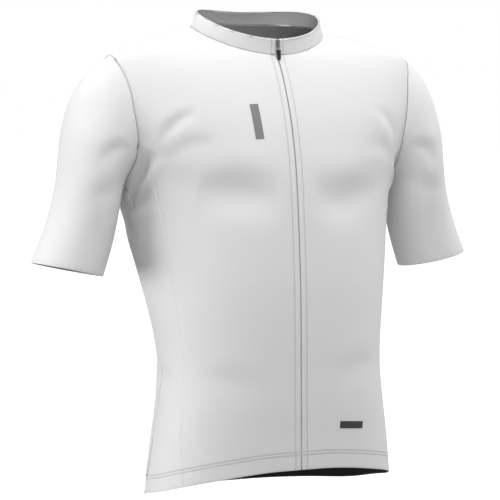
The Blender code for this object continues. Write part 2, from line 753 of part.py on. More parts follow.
def build_pull_eye(frame, collection, finish):
    """The pull's wire eye: a rounded loop whose top bar lies under the bridge."""
    curve = bpy.data.curves.new("zip_pull_eye", "CURVE")
    curve.dimensions = "3D"
    curve.bevel_depth = PULL_BAR / 2
    curve.bevel_resolution = 2
    curve.render_resolution_u = 0
    corner = PULL_BAR
    points = []
    for x, z, start in ((PULL_HALF_WIDTH, 0, 0), (-PULL_HALF_WIDTH, 0, 90),
                        (-PULL_HALF_WIDTH, -PULL_EYE_LENGTH, 180),
                        (PULL_HALF_WIDTH, -PULL_EYE_LENGTH, 270)):
        middle_x = x - math.copysign(corner, x)
        middle_z = z - corner if z == 0 else z + corner
        for step in range(4):
            angle = math.radians(start + 30 * step)
            points.append((middle_x + corner * math.cos(angle), middle_z + corner * math.sin(angle)))
    spline = curve.splines.new("POLY")
    spline.points.add(len(points) - 1)
    for slot, (x, z) in zip(spline.points, points):
        slot.co = (x, 0, z, 1)
    spline.use_cyclic_u = True
    eye = bpy.data.objects.new("zip_pull_eye", curve)
    curve.materials.append(finish)
    collection.objects.link(eye)
    eye.matrix_world = frame
    return eye


def build_pull_grip(frame, collection, finish):
    """The moulded grip below the eye, narrower at its tip."""
    top = -PULL_EYE_LENGTH - PULL_BAR / 2 - LAY_GAP
    grip = block("zip_pull_grip", (GRIP_TOP_WIDTH, GRIP_THICK, GRIP_LENGTH),
                 Vector((0, 0, top - GRIP_LENGTH / 2)), Matrix.Identity(4), collection, finish)
    bm = bmesh.new()
    bm.from_mesh(grip.data)
    taper = GRIP_TIP_WIDTH / GRIP_TOP_WIDTH
    for vert in bm.verts:
        share = (top - vert.co.z) / GRIP_LENGTH
        vert.co.x *= 1 + (taper - 1) * share
    bmesh.ops.bevel(bm, geom=bm.edges[:], offset=GRIP_ROUNDING, segments=2, profile=0.5,
                    affect="EDGES", material=-1)
    bm.to_mesh(grip.data)
    bm.free()
    grip.matrix_world = frame
    return grip


# ---------------------------------------------------------------- what lies on the panels
def build_gripper(grids, normal_at, collection, finish):
    """The elastic band inside the hem of the sides and the back."""
    rows = []
    shifts = []
    low = both_sides(grids["side"][0] + grids["back"][0][1:])
    high = both_sides(grids["side"][1] + grids["back"][1][1:])
    for share in (GRIPPER_FOOT, GRIPPER_HEIGHT / HEM_BAND):
        line = []
        inward = []
        for foot, top in zip(low, high):
            place = foot.lerp(top, share)
            normal = normal_at(foot).lerp(normal_at(top), share).normalized()
            depth = HEM_CLOTH + (CLOTH - HEM_CLOTH) * share
            line.append(place - normal * (depth + LAY_GAP))
            inward.append(-normal * GRIPPER_THICK)
        rows.append(line)
        shifts.append(inward)
    strip_object("hem_gripper", rows, shifts, collection, finish)


def build_pockets(grids, normal_at, collection, finish):
    """The panel of three rear pockets, flat against the back."""
    rows = []
    shifts = []
    first, last = POCKET_ROWS
    for row in grids["back"][first:last + 1]:
        line = both_sides(row)
        normals = [normal_at(point) for point in line]
        rows.append([point + n * LAY_GAP for point, n in zip(line, normals)])
        shifts.append([n * CLOTH for n in normals])
    strip_object("pocket_panel", rows, shifts, collection, finish)


# A patch is a small plate of cloth. turn is the side of the figure that it is seen from,
# across and height are its middle, slant turns it anticlockwise and lift is what it lies on.
Patch = namedtuple("Patch", "name turn across height wide tall slant lift finish")
PATCHES = (
    Patch("chest_bar", 0, -0.0489, -0.1414, 0.0120, 0.0452, 3.0, 0.0, "grey"),
    Patch("hem_label", 0, 0.0777, -0.5416, 0.0385, 0.0094, -5.6, 0.0, "charcoal"),
    Patch("side_tab_upper", -112, 0.0, -0.5695, 0.0100, 0.0185, 0.0, LAY_GAP + CLOTH, "charcoal"),
    Patch("side_tab_lower", -112, 0.0, -0.6063, 0.0100, 0.0150, 0.0, LAY_GAP + CLOTH, "charcoal"),
)
PATCH_STEP = 0.006            # longest facet of a patch, so that it follows the panel
OUTSIDE = 0.5                 # far enough from the middle to be clear of the jersey


def build_patches(shell, collection, finishes):
    """Thin plates laid on the shell by dropping their points onto it from outside."""
    tree = BVHTree.FromBMesh(shell)
    for patch in PATCHES:
        turn = math.radians(patch.turn)
        out = Vector((math.sin(turn), -math.cos(turn), 0))
        side = Vector((math.cos(turn), math.sin(turn), 0))
        wide_steps = math.ceil(patch.wide / PATCH_STEP)
        tall_steps = math.ceil(patch.tall / PATCH_STEP)
        middle = out * OUTSIDE + side * patch.across + Vector((0, 0, patch.height))
        facing = tree.ray_cast(middle, -out)[1]
        slant = Matrix.Rotation(math.radians(patch.slant), 3, out)
        rows = []
        for i in range(tall_steps + 1):
            up = Vector((0, 0, patch.tall * (i / tall_steps - 0.5)))
            row = []
            for j in range(wide_steps + 1):
                offset = slant @ (up + side * patch.wide * (j / wide_steps - 0.5))
                place = tree.ray_cast(middle + offset, -out)[0]
                row.append(place + facing * (LAY_GAP + patch.lift))
            rows.append(row)
        shifts = [[facing * PATCH_THICK] * (wide_steps + 1)] * (tall_steps + 1)
        strip_object(patch.name, rows, shifts, collection, finishes[patch.finish])


def empty_scene():
    for old in list(bpy.data.objects):
        bpy.data.objects.remove(old, do_unlink=True)


def new_collection(name):
    made = bpy.data.collections.new(name)
    bpy.context.scene.collection.children.link(made)
    return made


def build_jersey():
    empty_scene()
    parts = new_collection("cycling_jersey")
    cutters = new_collection("jersey_cutters")
    white = material("white_knit", (0.86, 0.86, 0.86), 0.75)
    collar_white = material("collar_knit", (0.84, 0.84, 0.84), 0.75)
    tape_white = material("zip_tape_weave", (0.78, 0.78, 0.78), 0.7)
    chain_grey = material("zip_coil_plastic", (0.45, 0.45, 0.45), 0.4)
    steel = material("slider_metal", (0.45, 0.45, 0.46), 0.35, 1.0)
    black = material("moulded_black", (0.02, 0.02, 0.02), 0.45)
    elastic = material("black_elastic", (0.012, 0.012, 0.012), 0.8)
    finishes = {
        "grey": material("grey_transfer", (0.21, 0.21, 0.21), 0.6),
        "charcoal": material("charcoal_transfer", (0.045, 0.045, 0.045), 0.6),
    }
    grids = half_grids()
    shell = build_shell(grids)
    normal_at = shell_normals(shell)
    build_panels(shell, parts, white, collar_white)
    build_zip_tapes(grids, normal_at, parts, tape_white)
    build_zip_chain(grids, normal_at, parts, chain_grey)
    slider_place = zip_frame(grids, normal_at)
    build_slider(slider_place, parts, cutters, steel)
    pull_place = pull_frame(slider_place)
    build_pull_eye(pull_place, parts, steel)
    build_pull_grip(pull_place, parts, black)
    build_gripper(grids, normal_at, parts, elastic)
    build_pockets(grids, normal_at, parts, white)
    build_patches(shell, parts, finishes)
    shell.free()


build_jersey()
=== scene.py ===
# %% [markdown]
# # A worn cycling jersey
# The construction model gives every cloth piece as a thin faceted wall. This lesson gives the
# jersey its looks: the walls' outer faces become one smooth cloth with folds, which is then
# cut back into its sewn panels, and the seams, stitches, zip and finishes follow.

# %% Load the construction model
import math
from collections import namedtuple

import bmesh
import bpy
import numpy as np
from mathutils import Matrix, Vector
from mathutils.bvhtree import BVHTree


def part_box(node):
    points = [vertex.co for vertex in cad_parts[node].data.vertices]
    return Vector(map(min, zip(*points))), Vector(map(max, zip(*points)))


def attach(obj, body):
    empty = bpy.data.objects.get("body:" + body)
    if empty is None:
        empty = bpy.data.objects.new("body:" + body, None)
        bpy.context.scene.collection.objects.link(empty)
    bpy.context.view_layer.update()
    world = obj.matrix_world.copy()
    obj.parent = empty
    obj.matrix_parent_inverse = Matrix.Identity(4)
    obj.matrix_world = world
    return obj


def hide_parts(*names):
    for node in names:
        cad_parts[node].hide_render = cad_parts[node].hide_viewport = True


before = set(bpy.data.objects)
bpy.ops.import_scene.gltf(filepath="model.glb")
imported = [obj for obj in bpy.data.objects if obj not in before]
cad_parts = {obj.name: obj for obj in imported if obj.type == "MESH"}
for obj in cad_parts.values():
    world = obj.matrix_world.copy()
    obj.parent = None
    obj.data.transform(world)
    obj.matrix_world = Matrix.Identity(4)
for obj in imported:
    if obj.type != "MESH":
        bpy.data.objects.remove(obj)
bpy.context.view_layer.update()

# %% [markdown]
# ## Small helpers
# Each piece is built as a bmesh and becomes an object at the origin, so its place is in its
# mesh. A material is a tree of nodes, and one short function makes and wires a node.

# %% Helpers for pieces
BODY = "garment"
SHARP = math.radians(50)


def add_piece(name, bm, material, body=BODY, stands_for=()):
    """Makes an object of a bmesh, gives it its finish and lets it ride on a body."""
    mesh = bpy.data.meshes.new(name)
    bm.to_mesh(mesh)
    bm.free()
    mesh.shade_smooth()
    piece = bpy.data.objects.new(name, mesh)
    bpy.context.scene.collection.objects.link(piece)
    mesh.materials.append(material)
    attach(piece, body)
    if stands_for:
        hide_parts(*stands_for)
    return piece


def baked(piece):
    """Applies a piece's modifiers and marks its sharp edges."""
    shown = piece.evaluated_get(bpy.context.evaluated_depsgraph_get())
    mesh = bpy.data.meshes.new_from_object(shown)
    piece.modifiers.clear()
    piece.data = mesh
    mesh.shade_smooth()
    mesh.set_sharp_from_angle(angle=SHARP)
    return piece


# %% Helper for shader nodes


def add_node(tree, kind, operation=None, **inputs):
    """Adds a node. An input is named by its label or by its number, and may be a socket."""
    made = tree.nodes.new(kind)
    if operation:
        made.operation = operation
    for key, value in inputs.items():
        socket = made.inputs[int(key[1:]) if key[0] == "i" and key[1:].isdigit() else key]
        if isinstance(value, bpy.types.NodeSocket):
            tree.links.new(value, socket)
        else:
            socket.default_value = value
    return made


def calc(tree, operation, first, second=0.0):
    """One step of arithmetic, as an output socket."""
    return add_node(tree, "ShaderNodeMath", operation, i0=first, i1=second).outputs[0]


def principled(name, colour, roughness, metallic=0.0):
    """A material's tree and its shader, with plain values on the shader's own sockets."""
    material = bpy.data.materials.new(name)
    material.use_nodes = True
    shader = material.node_tree.nodes["Principled BSDF"]
    shader.inputs["Base Color"].default_value = (*colour, 1)
    shader.inputs["Roughness"].default_value = roughness
    shader.inputs["Metallic"].default_value = metallic
    return material, material.node_tree, shader


# %% [markdown]
# ## Knitted cloth
# The real cloth is a fine white warp knit. Its loops stand in columns up the panel and in
# rows across it, so the pattern follows the panel's own UV map, whose U runs round the body
# and whose V is the height above the hem or cuff, both in metres. The sewn lines press the
# cloth into a narrow valley, which V gives at the hem and the distance from the middle gives
# beside the zip, and the valley's foot gets painted shade in the cloth's colour.

# %% The knit's material
WALE = 0.0011          # from one column of loops to the next
COURSE = 0.0008        # from one row of loops to the next
KNIT_RELIEF = 0.00009
STITCH_VALLEY = 0.0009
# painted shade: how much the colour darkens at the foot of a stitch valley
PAINTED_VALLEY_SHADE = 0.22     # the share of lightness lost at a valley's foot
VALLEY_DEPTH = 0.0006
KNIT_ROUGH = 0.85
HEM_STITCHES = (0.0192, 0.0232)     # heights of the two sewn lines above the hem's edge
ZIP_STITCH = 0.0085                 # from the zip's middle to the sewn line beside it


def valley(tree, distance, half_width):
    """A soft valley round the place where a distance is zero: 1 at its foot, 0 outside."""
    share = calc(tree, "DIVIDE", distance, half_width)
    square = calc(tree, "MULTIPLY", share, share)
    return calc(tree, "EXPONENT", calc(tree, "MULTIPLY", square, -1.0))


def knit(name, shade, hem_lines=(), zip_lines=False):
    """White knit of a given lightness, with valleys along its sewn lines, painted darker at their feet as
    shade.
    """
    material, tree, shader = principled(name, (shade, shade, shade), KNIT_ROUGH)
    grain = add_node(tree, "ShaderNodeSeparateXYZ", Vector=add_node(tree, "ShaderNodeUVMap").outputs[0])
    across, along = grain.outputs[0], grain.outputs[1]
    wales = calc(tree, "SINE", calc(tree, "MULTIPLY", across, math.tau / WALE))
    courses = calc(tree, "SINE", calc(tree, "MULTIPLY", along, math.tau / COURSE))
    loops = calc(tree, "MULTIPLY", wales, courses)
    place = add_node(tree, "ShaderNodeTexCoord").outputs["Object"]
    cloudy = add_node(tree, "ShaderNodeTexNoise", Vector=place, Scale=9.0, Detail=3.0)
    tint = add_node(tree, "ShaderNodeMapRange",
                    **{"Value": cloudy.outputs[0], "To Min": 0.965, "To Max": 1.0})
    pressed = None
    for height in hem_lines:
        line = valley(tree, calc(tree, "SUBTRACT", along, height), STITCH_VALLEY)
        pressed = line if pressed is None else calc(tree, "MAXIMUM", pressed, line)
    if zip_lines:
        sideways = add_node(tree, "ShaderNodeSeparateXYZ", Vector=place).outputs[0]
        off = calc(tree, "SUBTRACT", calc(tree, "ABSOLUTE", sideways), ZIP_STITCH)
        line = valley(tree, off, STITCH_VALLEY)
        pressed = line if pressed is None else calc(tree, "MAXIMUM", pressed, line)
    colour = calc(tree, "MULTIPLY", tint.outputs[0], shade)
    height = calc(tree, "MULTIPLY", loops, KNIT_RELIEF)
    if pressed is not None:
        # the colour darkens at the valley's foot: painted shade
        left_by_painted_shade = calc(tree, "SUBTRACT", 1.0, calc(tree, "MULTIPLY", pressed, PAINTED_VALLEY_SHADE))
        colour = calc(tree, "MULTIPLY", colour, left_by_painted_shade)
        height = calc(tree, "SUBTRACT", height, calc(tree, "MULTIPLY", pressed, VALLEY_DEPTH))
    mixed = add_node(tree, "ShaderNodeCombineColor", Red=colour, Green=colour, Blue=colour)
    tree.links.new(mixed.outputs[0], shader.inputs["Base Color"])
    bump = add_node(tree, "ShaderNodeBump", Height=height, Distance=1.0, Strength=0.8)
    tree.links.new(bump.outputs[0], shader.inputs["Normal"])
    shader.inputs["Sheen Weight"].default_value = 0.15
    shader.inputs["Specular IOR Level"].default_value = 0.25
    return material


body_knit = knit("body_knit", 0.82, hem_lines=HEM_STITCHES)
front_knit = knit("front_knit", 0.82, hem_lines=HEM_STITCHES, zip_lines=True)
sleeve_knit = knit("sleeve_knit", 0.82)
neck_knit = knit("neck_knit", 0.80, zip_lines=True)
# The inner side is a darker copy of the same white knit: painted shade for the jersey's inside.
shaded_inner_knit = knit("shaded_inner_knit", 0.60)
print("knits made:", sum(m.name.endswith("knit") for m in bpy.data.materials))

# %% [markdown]
# ## The cloth's outer faces
# A panel's wall has an outer face, an inner face and a rim between them. Faces that meet at
# a small angle belong to the same side of the wall, so a search that never crosses a sharp
# edge finds the outer face. Its triangles are joined in pairs, because a subdivision
# surface runs smoothly over quads.

# %% Take each panel's outer face
PANELS = ("front_right", "front_left", "side_right", "side_left", "back",
          "sleeve_right", "sleeve_left", "collar")
SAME_POINT = 0.00002
RIM_ANGLE = math.radians(50)
JOIN_ANGLE = math.radians(60)
TRUNK_Y = 0.02
ARM_TOP = Vector((0.2065, 0.016, -0.133))
ARM_END = Vector((0.2725, 0.016, -0.334))


def arm_axis(side):
    """The line down the middle of a sleeve, from the armhole to the cuff."""
    flip = Vector((side, 1, 1))
    return ARM_TOP * flip, ARM_END * flip


def middle_near(node, place):
    """The point inside the panel's tube that is level with a place on it."""
    if node.startswith("sleeve"):
        top, end = arm_axis(1 if node.endswith("left") else -1)
        down = (end - top).normalized()
        return top + down * (place - top).dot(down)
    return Vector((0, TRUNK_Y, place.z))


def outer_face(node):
    """A bmesh of the outer face of a panel's wall."""
    bm = bmesh.new()
    bm.from_mesh(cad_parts[node].data)
    bmesh.ops.remove_doubles(bm, verts=bm.verts, dist=SAME_POINT)
    bm.normal_update()
    left = set(bm.faces)
    best, best_reach = None, 0.0
    while left:
        todo, side = [left.pop()], []
        while todo:
            face = todo.pop()
            side.append(face)
            for edge in face.edges:
                if len(edge.link_faces) != 2 or edge.calc_face_angle() > RIM_ANGLE:
                    continue
                for other in edge.link_faces:
                    if other in left:
                        left.remove(other)
                        todo.append(other)
        reach = 0.0
        for face in side:
            middle = face.calc_center_median()
            out = (middle - middle_near(node, middle)).normalized()
            reach += face.calc_area() * face.normal.dot(out)
        if reach > best_reach:
            best, best_reach = set(side), reach
    inner = [face for face in bm.faces if face not in best]
    bmesh.ops.delete(bm, geom=inner, context="FACES")
    bmesh.ops.join_triangles(bm, faces=bm.faces, angle_face_threshold=JOIN_ANGLE,
                             angle_shape_threshold=math.pi)
    return bm


cloth = bmesh.new()
for number, node in enumerate(PANELS):
    face_mesh = bpy.data.meshes.new(node + "_outer")
    outer = outer_face(node)
    for face in outer.faces:
        face.material_index = number
    quads = sum(len(face.verts) == 4 for face in outer.faces)
    print(node, "outer face:", quads, "quads,", len(outer.faces) - quads, "others,",
          round(sum(face.calc_area() for face in outer.faces), 4), "square metres")
    outer.to_mesh(face_mesh)
    outer.free()
    cloth.from_mesh(face_mesh)

# %% [markdown]
# ## One smooth cloth
# The panels are welded at their seams and smoothed together, so that the form flows over
# a seam as it does on a body. Each face keeps its panel's number for cutting them apart.

# %% Weld and smooth
SEAM_REACH = 0.0008
LEVELS = 3

bmesh.ops.remove_doubles(cloth, verts=cloth.verts, dist=SEAM_REACH)
print("open edges after welding:", sum(len(e.link_faces) == 1 for e in cloth.edges))
coarse = bpy.data.meshes.new("cloth_coarse")
cloth.to_mesh(coarse)
cloth.free()
cage = bpy.data.objects.new("cloth_cage", coarse)
bpy.context.scene.collection.objects.link(cage)
smoothing = cage.modifiers.new("smooth", "SUBSURF")
smoothing.levels = smoothing.render_levels = LEVELS
smoothing.boundary_smooth = "PRESERVE_CORNERS"
whole = bpy.data.meshes.new_from_object(cage.evaluated_get(bpy.context.evaluated_depsgraph_get()))
bpy.data.objects.remove(cage)
print("smooth cloth:", len(whole.polygons), "faces")

# %% [markdown]
# ## Folds
# Close-fitting cloth folds where the arm meets the trunk and where the waist takes it in.
# Each fold is a soft trough with a lower ridge beside it, drawn on one side of the jersey
# as a bowed line, and it fades out at both ends. The table is uneven, as real folds are.

# %% The folds' table
# across and height are in metres on the side that the fold faces: X on the front and the
# back, Y on the right and the left. A positive depth sinks.
Fold = namedtuple("Fold", "facing a_across a_height b_across b_height bow width depth")
FOLDS = (
    Fold("front", -0.172, -0.168, -0.128, -0.128, 0.006, 0.0080, 0.0022),
    Fold("front", -0.168, -0.190, -0.105, -0.168, 0.007, 0.0100, 0.0012),
    Fold("front", -0.160, -0.215, -0.085, -0.222, -0.008, 0.0140, 0.0008),
    Fold("front", 0.172, -0.166, 0.133, -0.122, -0.005, 0.0080, 0.0018),
    Fold("front", 0.168, -0.192, 0.110, -0.172, -0.007, 0.0100, 0.0011),
    Fold("front", 0.158, -0.218, 0.078, -0.228, 0.008, 0.0150, 0.0008),
    Fold("front", -0.130, -0.236, -0.024, -0.246, 0.006, 0.0260, 0.0058),
    Fold("front", 0.022, -0.244, 0.128, -0.234, -0.006, 0.0260, 0.0054),
    Fold("front", -0.135, -0.470, -0.060, -0.500, 0.010, 0.0160, 0.0012),
    Fold("front", 0.050, -0.488, 0.132, -0.462, 0.009, 0.0160, 0.0012),
    Fold("right", 0.014, -0.248, -0.052, -0.180, 0.004, 0.0065, 0.0085),
    Fold("right", 0.040, -0.262, -0.040, -0.232, 0.005, 0.0090, 0.0042),
    Fold("right", 0.062, -0.268, 0.000, -0.300, -0.006, 0.0140, 0.0018),
    Fold("right", 0.030, -0.455, -0.060, -0.478, 0.007, 0.0150, 0.0016),
    Fold("left", 0.016, -0.250, -0.050, -0.184, 0.004, 0.0070, 0.0078),
    Fold("left", 0.042, -0.266, -0.038, -0.236, 0.005, 0.0090, 0.0040),
    Fold("left", 0.060, -0.272, 0.004, -0.306, -0.006, 0.0140, 0.0018),
    Fold("left", 0.034, -0.450, -0.058, -0.474, 0.007, 0.0150, 0.0016),
    Fold("back", -0.160, -0.170, -0.090, -0.205, 0.008, 0.0110, 0.0030),
    Fold("back", 0.158, -0.174, 0.094, -0.212, -0.008, 0.0110, 0.0030),
    Fold("back", -0.120, -0.415, -0.035, -0.440, 0.010, 0.0160, 0.0020),
    Fold("back", 0.030, -0.428, 0.124, -0.408, 0.009, 0.0160, 0.0020),
    Fold("back", -0.060, -0.255, 0.052, -0.262, -0.010, 0.0260, 0.0018),
)
ARM_FOLDS = (
    Fold("front", 0.206, -0.172, 0.246, -0.196, 0.006, 0.0100, 0.0020),
    Fold("front", 0.208, -0.214, 0.262, -0.238, -0.007, 0.0130, 0.0016),
    Fold("front", 0.226, -0.118, 0.266, -0.150, 0.006, 0.0150, 0.0009),
    Fold("back", 0.210, -0.176, 0.252, -0.204, 0.006, 0.0100, 0.0026),
    Fold("back", 0.210, -0.222, 0.262, -0.246, -0.006, 0.0130, 0.0022),
)

# %% Press the folds into the cloth
FACINGS = {"front": (0, (0, -1, 0)), "back": (0, (0, 1, 0)),
           "right": (1, (-1, 0, 0)), "left": (1, (1, 0, 0))}
RIDGE_SHARE = 0.4
RIDGE_OFFSET = 1.7


def fold_depth(fold, points, normals, flip=1.0):
    """How far each point sinks into a fold."""
    axis, direction = FACINGS[fold.facing]
    place = np.stack([points[:, axis] * flip, points[:, 2]], axis=1)
    start = np.array([fold.a_across, fold.a_height])
    run = np.array([fold.b_across, fold.b_height]) - start
    length = np.linalg.norm(run)
    run = run / length
    share = np.clip((place - start) @ run / length, 0, 1)
    fade = np.sin(math.pi * share) ** 0.8
    off = (place - start) @ np.array([-run[1], run[0]]) - fold.bow * np.sin(math.pi * share)
    trough = np.exp(-(off / fold.width) ** 2)
    ridge = np.exp(-((off - RIDGE_OFFSET * fold.width) / fold.width) ** 2)
    facing = np.clip(normals @ np.array(direction) * 2.0, 0, 1)
    return fold.depth * fade * facing * (trough - RIDGE_SHARE * ridge)


def read(items, key, width):
    """Reads a value of every vertex, loop or face as an array."""
    values = np.zeros(len(items) * width, np.float32)
    items.foreach_get(key, values)
    return values.reshape(-1, width) if width > 1 else values


points = read(whole.vertices, "co", 3).astype(float)
normals = read(whole.vertex_normals, "vector", 3).astype(float)
panel_of = read(whole.polygons, "material_index", 1).astype(int)
corner_face = np.repeat(np.arange(len(whole.polygons)), read(whole.polygons, "loop_total", 1).astype(int))
corner_vert = read(whole.loops, "vertex_index", 1).astype(int)
on_sleeve = np.zeros(len(points), bool)
sleeve_faces = np.isin(panel_of, [PANELS.index("sleeve_right"), PANELS.index("sleeve_left")])
on_sleeve[corner_vert[sleeve_faces[corner_face]]] = True
sink = np.zeros(len(points))
for fold in FOLDS:
    sink += fold_depth(fold, points, normals) * ~on_sleeve
for fold in ARM_FOLDS:
    for side in (1.0, -1.0):
        sink += fold_depth(fold, points, normals, side) * on_sleeve * (points[:, 0] * side > 0)
points -= normals * sink[:, None]
whole.vertices.foreach_set("co", points.astype(np.float32).ravel())
whole.update()
print("folds pressed in:", len(FOLDS) + 2 * len(ARM_FOLDS), "deepest mm", round(sink.max() * 1000, 2))

# %% [markdown]
# ## The grain of each panel
# Knit is cut with its columns running up the panel. U is the distance round the trunk or
# arm and V the height above the free edge below it, read from that edge at the same turn.

# %% Lay the grain
TRUNK_RADIUS = 0.155
ARM_RADIUS = 0.050


def round_and_along(points, side):
    """Each point's turn about the trunk (side 0) or an arm, and its height along it."""
    if side == 0:
        turn = np.arctan2(points[:, 0], TRUNK_Y - points[:, 1])
        return turn, points[:, 2]
    top, end = arm_axis(side)
    down = np.array((end - top).normalized())
    off = points - np.array(top)
    fore = np.array([0.0, -1.0, 0.0])
    out = np.cross(fore, down) * side
    return np.arctan2(off @ fore, off @ out), -(off @ down)


def edge_heights(turn, along, loose):
    """The free edge's height by turn, ready to be read at any turn."""
    order = np.argsort(turn[loose])
    turns, heights = turn[loose][order], along[loose][order]
    turns = np.concatenate([turns - math.tau, turns, turns + math.tau])
    return turns, np.tile(heights, 3)


loose_verts = np.zeros(len(points), bool)
whole_bm = bmesh.new()
whole_bm.from_mesh(whole)
for edge in whole_bm.edges:
    if len(edge.link_faces) == 1:
        for vert in edge.verts:
            loose_verts[vert.index] = True
    elif edge.link_faces[0].material_index != edge.link_faces[1].material_index:
        edge.seam = True
whole_bm.to_mesh(whole)
grain = whole.uv_layers.new(name="grain")
uv = np.zeros((len(corner_vert), 2))
HEM_TOP = -0.55
CUFF_TOP = -0.30
for side, radius in ((0, TRUNK_RADIUS), (1, ARM_RADIUS), (-1, ARM_RADIUS)):
    turn, along = round_and_along(points, side)
    if side == 0:
        free = loose_verts & (points[:, 2] < HEM_TOP)
        mine = ~sleeve_faces[corner_face]
    else:
        free = loose_verts & on_sleeve & (points[:, 0] * side > 0) & (points[:, 2] < CUFF_TOP)
        mine = (sleeve_faces & (read(whole.polygons, "center", 3)[:, 0] * side > 0))[corner_face]
    edge_turns, edges = edge_heights(turn, along, free)
    rise = along - np.interp(turn, edge_turns, edges)
    if side == 0:
        trunk_turn, trunk_rise = turn, rise
        hem_turns, hem_edges = edge_turns, edges
    centre = read(whole.polygons, "center", 3).astype(float)
    face_turn = round_and_along(centre, side)[0][corner_face]
    corner_turn = turn[corner_vert]
    corner_turn = corner_turn + math.tau * np.round((face_turn - corner_turn) / math.tau)
    uv[mine, 0] = (corner_turn * radius)[mine]
    uv[mine, 1] = rise[corner_vert][mine]
grain.data.foreach_set("uv", uv.astype(np.float32).ravel())
whole_bm.free()
print("grain laid, highest point above the hem", round(float(uv[:, 1].max()), 3), "m")

# %% [markdown]
# ## Cut the cloth into its panels
# A sewn seam pulls both panels down into a narrow valley, and a folded edge rounds over. So
# each panel gets a narrow row of faces along its border, whose outer points then sink. After
# that Solidify gives the cloth its thickness, with an inner side painted darker as shade.

# %% The panels
SEAM_ROW = 0.0013
SEAM_SINK = 0.0007
EDGE_SINK = 0.0004
KNIT_THICK = 0.0010
COLLAR_THICK = 0.0016
Cut = namedtuple("Cut", "width length area")
FINISH = {"front": front_knit, "side": body_knit, "back": body_knit,
          "sleeve": sleeve_knit, "collar": neck_knit}


def cut_panel(number):
    """A bmesh of one panel, with a sunk border row."""
    bm = bmesh.new()
    bm.from_mesh(whole)
    others = [face for face in bm.faces if face.material_index != number]
    bmesh.ops.delete(bm, geom=others, context="FACES")
    border = {vert for edge in bm.edges if edge.is_boundary for vert in edge.verts}
    sewn = {vert for edge in bm.edges if edge.is_boundary and edge.seam for vert in edge.verts}
    bmesh.ops.inset_region(bm, faces=bm.faces[:], thickness=SEAM_ROW, use_even_offset=True,
                           use_boundary=True)
    bm.normal_update()
    for vert in [v for v in bm.verts if v.is_boundary]:
        depth = SEAM_SINK if vert in sewn else EDGE_SINK
        vert.co -= vert.normal * depth
    for face in bm.faces:
        face.material_index = 0
    return bm, len(border)


def thicken(piece, thickness):
    """Gives a sheet its thickness inwards, with its inner side in a darker knit that paints shade."""
    piece.data.materials.append(shaded_inner_knit)
    wall = piece.modifiers.new("thickness", "SOLIDIFY")
    wall.thickness = thickness
    wall.offset = -1
    wall.use_quality_normals = True
    wall.material_offset = 1
    return baked(piece)


for number, node in enumerate(PANELS):
    kind = node.split("_")[0]
    bm, border = cut_panel(number)
    slot = "collar_knit" if kind == "collar" else "white_knit"
    piece = add_piece(node + "_cloth", bm, FINISH[kind], stands_for=[node])
    thicken(piece, COLLAR_THICK if kind == "collar" else KNIT_THICK)
    print(node, "border points", border, "faces", len(piece.data.polygons))

# %% [markdown]
# ## Rear pockets
# Three pockets share one panel sewn onto the back. It keeps the construction model's outline
# and is laid on the smooth cloth. It stands off a little more towards its open upper edge,
# and two sewn lines divide it.

# %% Lay a piece on the cloth
HEM_LEVEL = -0.6456
skin_bm = bmesh.new()
skin_bm.from_mesh(whole)
skin = BVHTree.FromBMesh(skin_bm)
skin_bm.free()


def laid(node, cuts, lift):
    """A bmesh of a node's outer face, made finer and laid on the smooth cloth."""
    bm = outer_face(node)
    loose = [vert for vert in bm.verts if not vert.link_faces]
    bmesh.ops.delete(bm, geom=loose, context="VERTS")
    bmesh.ops.subdivide_edges(bm, edges=bm.edges[:], cuts=cuts, use_grid_fill=True)
    for vert in bm.verts:
        place, normal, _, _ = skin.find_nearest(vert.co)
        vert.co = place + normal * lift(place)
    grain = bm.loops.layers.uv.new("grain")
    for face in bm.faces:
        face.smooth = True
        for loop in face.loops:
            place = loop.vert.co
            turn = math.atan2(place.x, TRUNK_Y - place.y) % math.tau
            loop[grain].uv = (turn * TRUNK_RADIUS, place.z - HEM_LEVEL)
    bm.normal_update()
    return bm


# %% The pocket panel
POCKET_LOW = 0.0232
POCKET_HIGH = 0.1780
POCKET_LINES = (-0.58, 0.58)       # turns of the two dividing lines, from the middle of the back
POCKET_SIDE = 1.45
POCKET_SIDE_FADE = 0.45
POCKET_EDGE = 1.74
POCKET_EDGE_FADE = 0.12
POCKET_STAND = 0.0013
POCKET_SEWN = 0.0005         # at its sides the panel is pressed into the cloth by its seam
POCKET_EASE = 0.0030
POCKET_LINE_WIDTH = 0.045


def pocket_lift(place):
    """How far the pocket panel stands off the back: least at its sewn lines."""
    turn = math.atan2(place.x, TRUNK_Y - place.y)
    from_middle = math.remainder(turn - math.pi, math.tau)
    up = (place.z - HEM_LEVEL - POCKET_LOW) / (POCKET_HIGH - POCKET_LOW)
    held = max(math.exp(-((from_middle - line) / POCKET_LINE_WIDTH) ** 2) for line in POCKET_LINES)
    side = min(max((POCKET_SIDE - abs(from_middle)) / POCKET_SIDE_FADE, 0), 1)
    sewn = min(max((POCKET_EDGE - abs(from_middle)) / POCKET_EDGE_FADE, 0), 1)
    stand = POCKET_SEWN + (POCKET_STAND - POCKET_SEWN) * sewn
    return stand + POCKET_EASE * min(max(up, 0), 1) * side * (1 - held)


pockets = add_piece("rear_pockets", laid("pocket_panel", 5, pocket_lift), sleeve_knit,
                    stands_for=["pocket_panel"])
thicken(pockets, KNIT_THICK)
print("pocket panel", [round(v, 3) for v in pockets.dimensions], len(pockets.data.polygons), "faces")

# %% [markdown]
# ## Gripper
# A black elastic band inside the hem of the sides and the back keeps the jersey from riding
# up. It is ribbed along its length.

# %% The gripper
GRIPPER_DEPTH = 0.0019
GRIPPER_THICK = 0.0008
RIB = 0.0016


